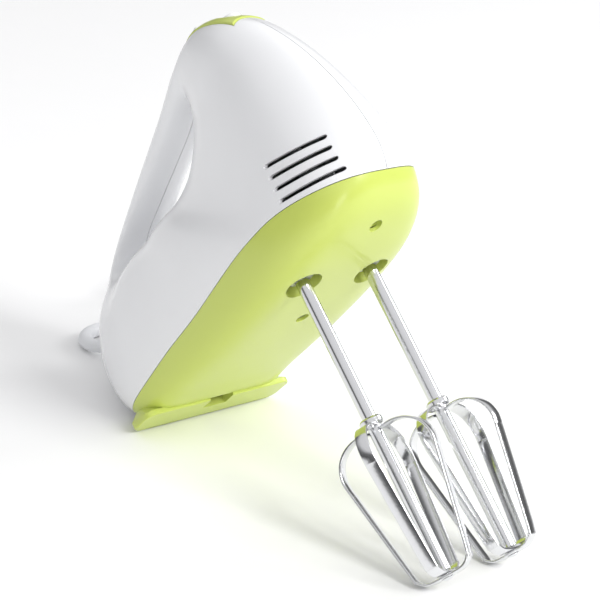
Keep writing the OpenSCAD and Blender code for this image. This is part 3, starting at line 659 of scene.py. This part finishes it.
def strip(name, x, degrees, z1, z0):
    """One bent strip: down one side of the head, across below it and up the other."""
    half = loop_half(z1, z0)
    line = catmull(half + [(-r, z) for r, z in half[::-1]], 5, closed=False)
    tangents = np.gradient(line, axis=0)
    tangents /= np.linalg.norm(tangents, axis=1)[:, None]
    section = []
    for cx, cy in ((1, 1), (-1, 1), (-1, -1), (1, -1)):
        for k in range(4):
            a = math.atan2(cy, cx) + math.radians(-45 + 30 * k)
            section.append((cx * (STRIP_W / 2 - 0.4) + 0.4 * math.cos(a),
                            cy * (STRIP_T / 2 - 0.4) + 0.4 * math.sin(a)))
    k = len(section)
    turn = math.radians(degrees)
    verts = []
    for (r, z), (tr, tz) in zip(line, tangents):
        for wide, thick in section:
            rr = r - tz * thick
            zz = z + tr * thick
            verts.append((x + rr * math.cos(turn) - wide * math.sin(turn),
                          rr * math.sin(turn) + wide * math.cos(turn), zz))
    n = len(line)
    faces = [(i * k + j, i * k + (j + 1) % k, (i + 1) * k + (j + 1) % k, (i + 1) * k + j)
             for i in range(n - 1) for j in range(k)]
    faces += [tuple(range(k - 1, -1, -1)), tuple(range((n - 1) * k, n * k))]
    obj = mesh_object(name, verts, faces)
    fix_normals(obj)
    smooth_by_angle(obj, 40)
    return obj


def beater(side, x):
    body = "beater_" + side
    turn = TURN[side]
    bottom = -DROP + 2.2
    outline = [(0, bottom), (2.6, bottom), (3, bottom + 0.4), (3, 40.5), (2, 41.5), (0, 41.5)]
    shaft = lathe("shaft_" + side, outline, 0, x)
    cut(shaft, solid_box(-0.85, 0.85, x - 4.3, x + 4.3, 4, 12.5), "UNION")
    smooth_by_angle(shaft)
    piece(posed(shaft), CHROME, body, "chrome", "beater_shaft_" + side)
    outer = strip("outer_strip_" + side, x, turn, HEAD_TOP - 1.6, -DROP)
    piece(posed(outer), CHROME, body, "chrome", "beater_outer_" + side)
    inner = strip("inner_strip_" + side, x, turn + 90, HEAD_TOP, -DROP + 1.3)
    piece(posed(inner), CHROME, body, "chrome", "beater_inner_" + side)
    low = HEAD_TOP + 0.9
    outline = [(3.03, low), (4.7, low), (5, low + 0.4), (5, low + 2.2), (4.3, low + 3), (3.03, low + 3)]
    collar = ring_lathe(outline, 0, x)
    collar.name = "collar_" + side
    smooth_by_angle(collar)
    piece(posed(collar), CHROME, body, "chrome", "beater_collar_" + side)
    outline = [(0, -133.5), (1.6, -133.4), (2.4, -133.0), (2.6, -132.7), (1.6, -132.6), (1.6, -129.9),
               (0, -129.9)]
    rivet = lathe("rivet_" + side, outline, 0, x)
    piece(posed(rivet), CHROME, body, "chrome", "beater_rivet_" + side)


# ------------------------------------------------------------------ plug and guard
def guard():
    bore = LEAD_D / 2 + 0.05
    section = [(bore, -11.4), (5.2, -11.4), (5.5, -11.1), (5.5, -9.5), (5.2, -9.2), (4.4, -9.2), (4.4, 2)]
    for i in range(4):
        z = 5 + 4 * i
        r = 4.4 - 0.55 * (z - 2) / 20
        section += [(r, z - 0.2), (r - 0.55, z + 0.1), (r - 0.55, z + 1.4), (r - 0.05, z + 1.7)]
    section += [(3.95, 21.6), (3.6, 22), (bore, 22)]
    obj = ring_lathe(section, 0, 0)
    obj.name = "lead_guard"
    aim = Matrix.Translation((0, -EXIT[0], EXIT[1])) @ Matrix.Rotation(TILT - math.pi / 2, 4, "X")
    obj.data.transform(aim)
    smooth_by_angle(obj)
    piece(posed(obj), VINYL, "housing", "white_flex", "cord_guard")


def plug():
    outline = [(-5, 6), (-9, 12), (-13.5, 26), (-13.5, 34), (13.5, 34), (13.5, 26), (9, 12), (5, 6)]
    n = len(outline)
    verts = [(x, y, z) for z in (-6.85, 6.85) for x, y in outline]
    faces = [tuple(range(n)), tuple(range(2 * n - 1, n - 1, -1))]
    faces += [(i, i + n, (i + 1) % n + n, (i + 1) % n) for i in range(n)]
    obj = mesh_object("plug", verts, faces, False)
    fix_normals(obj)
    m = obj.modifiers.new("round", "BEVEL")
    m.width = 2.2
    m.segments = 4
    bpy.context.view_layer.objects.active = obj
    bpy.ops.object.modifier_apply(modifier=m.name)
    cut(obj, block(-34, -30, -15, 15, -6.85, 6.85, 0.8), "UNION")
    neck = lathe("neck", [(0, 0), (4.1, 0), (4.3, 0.3), (5.5, 10), (0, 10)], 0, 0)
    neck.data.transform(Matrix.Rotation(-math.pi / 2, 4, "X"))
    cut(obj, neck, "UNION")
    cut(obj, drum((0, 3, 0), (0, 1, 0), LEAD_D / 2 + 0.1, 8.2), "DIFFERENCE")
    for x in (-9.5, 9.5):
        cut(obj, drum((x, 31, 0), (0, 1, 0), 1.62, 10), "DIFFERENCE")
    for z in (-7.2, 7.2):
        for y in (16, 19, 22, 25):
            cut(obj, block(-y - 1.2, -y, -6, 6, z - 0.85, z + 0.85, 0.3), "DIFFERENCE")
    obj.data.transform(Matrix.Translation(PLUG) @ Matrix.Rotation(math.pi / 2, 4, "Z"))
    obj.data.transform(Matrix.Scale(MM, 4))
    smooth_by_angle(obj)
    piece(obj, VINYL, "housing", "white_flex", "plug_body")
    return obj


def floor():
    bpy.ops.mesh.primitive_plane_add(size=12, location=(0, 0, -0.0002))
    obj = bpy.context.object
    obj.name = "floor"
    mat = material("worktop", (0.9, 0.9, 0.9), 0.7, grain=40, bump=0.0, spread=0.005)
    finish_with(obj, mat)


def lamp(name, place, target, size, power):
    data = bpy.data.lights.new(name, "AREA")
    data.shape = "DISK"
    data.size = size
    data.energy = power
    obj = bpy.data.objects.new(name, data)
    obj.location = place
    obj.rotation_euler = (Vector(target) - Vector(place)).to_track_quat("-Z", "Y").to_euler()
    bpy.context.scene.collection.objects.link(obj)


def sky():
    """A studio dome: white overhead, dark towards the horizon, so that metal shows dark and light bands."""
    world = bpy.data.worlds.new("world")
    bpy.context.scene.world = world
    world.use_nodes = True
    tree = world.node_tree
    place = tree.nodes.new("ShaderNodeTexCoord")
    split = tree.nodes.new("ShaderNodeSeparateXYZ")
    link(tree, place.outputs["Generated"], split.inputs["Vector"])
    ramp = tree.nodes.new("ShaderNodeValToRGB")
    stops = [(0.0, 0.5), (0.1, 0.12), (0.28, 0.2), (0.42, 0.9), (0.75, 1.0)]
    while len(ramp.color_ramp.elements) < len(stops):
        ramp.color_ramp.elements.new(0.5)
    for element, (where, grey) in zip(ramp.color_ramp.elements, stops):
        element.position = where
        element.color = (grey, grey, grey * 1.01, 1)
    link(tree, split.outputs["Z"], ramp.inputs["Fac"])
    link(tree, ramp.outputs["Color"], tree.nodes["Background"].inputs["Color"])
    tree.nodes["Background"].inputs["Strength"].default_value = 0.85


def light():
    sky()
    lamp("key", (0.35, -1.5, 1.45), (0, 0, 0.08), 0.9, 26)
    lamp("side", (1.5, -0.5, 0.9), (0, 0, 0.08), 0.7, 9)
    lamp("floor_front", (-0.9, -1.4, 0.35), (0, -0.05, 0.1), 0.6, 3)
    bpy.context.scene.view_settings.view_transform = "Standard"


camera()
dress_cad()
free_lead, lead_length = lead()
shells()
base()
panel()
knob()
button()
beater("right", -19)
beater("left", 19)
guard()
plug()
floor()
light()
